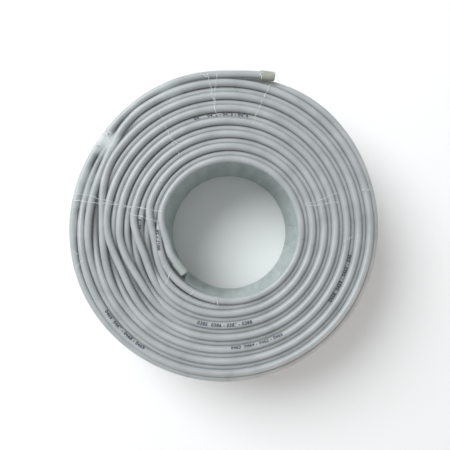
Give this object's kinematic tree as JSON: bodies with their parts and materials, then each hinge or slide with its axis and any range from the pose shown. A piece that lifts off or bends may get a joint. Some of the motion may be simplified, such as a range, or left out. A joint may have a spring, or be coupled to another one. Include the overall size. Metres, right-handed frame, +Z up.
{
  "type": "coaxial cable coil",
  "caption": "Round coil of light grey coaxial cable wound in layers, both ends capped, wrapped in clear stretch film, lying flat.",
  "frame": {"origin": "on the floor, on the axis of the coil's outside", "axes": "+Z up along the bore, +Y towards the side where the outer end of the cable lies, +X the way that end points"},
  "size_m": [0.2892, 0.2924, 0.0886],
  "materials": {
    "jacket": "smooth light grey cable jacket",
    "cream_cap": "satin moulded cap",
    "pale_cap": "satin moulded cap",
    "film": "clear creased stretch film"
  },
  "bodies": {
    "root": {"cable_coil": "jacket", "outer_end_cap": "cream_cap", "inner_end_cap": "pale_cap", "film_wrap": "film"}
  },
  "joints": []
}
